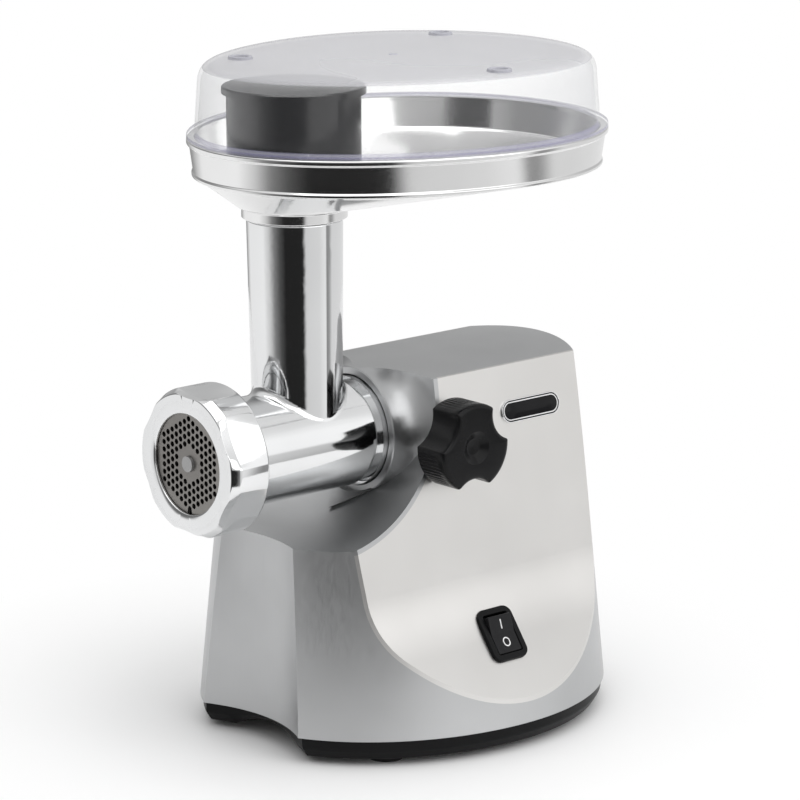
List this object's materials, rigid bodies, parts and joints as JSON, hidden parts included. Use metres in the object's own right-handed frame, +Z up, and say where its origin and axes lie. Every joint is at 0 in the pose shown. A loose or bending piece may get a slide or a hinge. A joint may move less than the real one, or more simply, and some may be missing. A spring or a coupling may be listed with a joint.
{
  "type": "electric meat grinder",
  "caption": "Countertop electric meat grinder with a polished cutting head, feed tube, covered tray, clamp knob and rocker switch.",
  "frame": {"origin": "the middle of the footprint, on the resting plane under the rubber feet", "axes": "+Z up, -Y towards the outlet and cutting plate, +X towards the clamp knob and switch"},
  "size_m": [0.208, 0.2784, 0.3744],
  "materials": {
    "body_silver": "satin silver",
    "brushed_panel": "fine vertical brushing",
    "black_plastic": "moulded, fine texture",
    "rubber": "matte",
    "polished_metal": "polished",
    "brass": "machined",
    "badge_black": "gloss with a bright rim",
    "rocker_black": "gloss",
    "cast_alloy": "as cast",
    "steel": "turned",
    "lamination": "stacked sheet",
    "copper": "enamelled winding",
    "carbon": "pressed carbon",
    "white_plastic": "moulded",
    "gear_plastic": "moulded",
    "plate_steel": "ground",
    "pusher_black": "gloss",
    "clear_plastic": "clear, with a translucent grey top"
  },
  "bodies": {
    "root": {"housing_shell": "body_silver", "right_side_panel": "brushed_panel", "left_side_panel": "brushed_panel", "base_plate": "black_plastic", "rubber_feet": "rubber", "outlet_collar": "body_silver", "clamp_insert": "brass", "badge_plate": "badge_black", "switch_bezel": "black_plastic", "switch_body": "black_plastic", "cord_gland": "rubber", "gearcase": "cast_alloy", "gearcase_lid": "cast_alloy", "gearcase_screws": "steel", "first_axle": "steel", "second_axle": "steel", "output_bush": "brass", "stator_stack": "lamination", "field_coils": "copper", "rear_motor_bracket": "cast_alloy", "front_motor_bracket": "cast_alloy", "front_bearing": "steel", "rear_bearing": "steel", "right_brush_holder": "brass", "left_brush_holder": "brass", "right_carbon_brush": "carbon", "left_carbon_brush": "carbon", "terminal_block": "white_plastic"},
    "drive": {"output_gear": "gear_plastic", "output_shaft": "steel"},
    "layshaft_two": {"second_pinion": "steel", "second_wheel": "gear_plastic"},
    "layshaft_one": {"first_pinion": "steel", "first_wheel": "gear_plastic"},
    "rotor": {"motor_shaft": "steel", "armature_stack": "lamination", "armature_windings": "copper", "commutator": "brass", "cooling_fan": "black_plastic", "motor_pinion": "steel"},
    "head": {"head_casting": "polished_metal", "plate_key": "steel"},
    "auger": {"auger": "cast_alloy", "thrust_washer": "white_plastic", "cutting_knife": "steel"},
    "plate": {"perforated_plate": "plate_steel"},
    "nut": {"ring_nut": "polished_metal"},
    "tray": {"tray": "polished_metal"},
    "pusher": {"pusher_body": "pusher_black", "pusher_cap": "pusher_black"},
    "cover": {"cover": "clear_plastic"},
    "clamp": {"clamp_pad": "brass"},
    "knob": {"clamp_knob": "black_plastic", "clamp_screw": "steel"},
    "rocker": {"rocker": "rocker_black"}
  },
  "joints": [
    {"name": "output_spin", "type": "hinge", "parent": "root", "child": "drive", "pos_m": [0, 0.033, 0.1666], "axis": [0, 1, 0], "continuous": true},
    {"name": "layshaft_two_spin", "type": "hinge", "parent": "root", "child": "layshaft_two", "pos_m": [-0.006, 0.043, 0.13721], "axis": [0, 1, 0], "continuous": true},
    {"name": "layshaft_one_spin", "type": "hinge", "parent": "root", "child": "layshaft_one", "pos_m": [0.0027, 0.053, 0.10589], "axis": [0, 1, 0], "continuous": true},
    {"name": "rotor_spin", "type": "hinge", "parent": "root", "child": "rotor", "pos_m": [0, -0.027, 0.072], "axis": [0, 1, 0], "continuous": true},
    {"name": "head_slide", "type": "slide", "parent": "root", "child": "head", "axis": [0, -1, 0], "range_m": [0, 0.06]},
    {"name": "auger_spin", "type": "hinge", "parent": "head", "child": "auger", "pos_m": [0, -0.067, 0.1666], "axis": [0, 1, 0], "continuous": true},
    {"name": "plate_slide", "type": "slide", "parent": "head", "child": "plate", "axis": [0, -1, 0], "range_m": [0, 0.006]},
    {"name": "nut_turn", "type": "hinge", "parent": "plate", "child": "nut", "pos_m": [0, -0.127, 0.1666], "axis": [0, 1, 0], "range_deg": [0, 1080]},
    {"name": "tray_lift", "type": "slide", "parent": "head", "child": "tray", "axis": [0, 0, 1], "range_m": [0, 0.06]},
    {"name": "pusher_lift", "type": "slide", "parent": "tray", "child": "pusher", "axis": [0, 0, 1], "range_m": [0, 0.1]},
    {"name": "cover_lift", "type": "slide", "parent": "pusher", "child": "cover", "axis": [0, 0, 1], "range_m": [0, 0.08]},
    {"name": "clamp_slide", "type": "slide", "parent": "root", "child": "clamp", "axis": [1, 0, 0], "range_m": [0, 0.0015]},
    {"name": "knob_turn", "type": "hinge", "parent": "clamp", "child": "knob", "pos_m": [0.06, -0.0007, 0.1666], "axis": [1, 0, 0], "range_deg": [0, 540]},
    {"name": "rocker_tilt", "type": "hinge", "parent": "root", "child": "rocker", "pos_m": [0.07754, 0.0155, 0.05756], "axis": [0, -1, 0], "range_deg": [0, 16]}
  ],
  "couplings": [
    {"joint": "layshaft_two_spin", "follows": "output_spin", "ratio": -3},
    {"joint": "layshaft_one_spin", "follows": "output_spin", "ratio": 10},
    {"joint": "rotor_spin", "follows": "output_spin", "ratio": -46.667},
    {"joint": "auger_spin", "follows": "output_spin", "ratio": 1},
    {"joint": "plate_slide", "follows": "nut_turn", "m_per_rad": 0.00031831},
    {"joint": "clamp_slide", "follows": "knob_turn", "m_per_rad": 0.00015915}
  ]
}
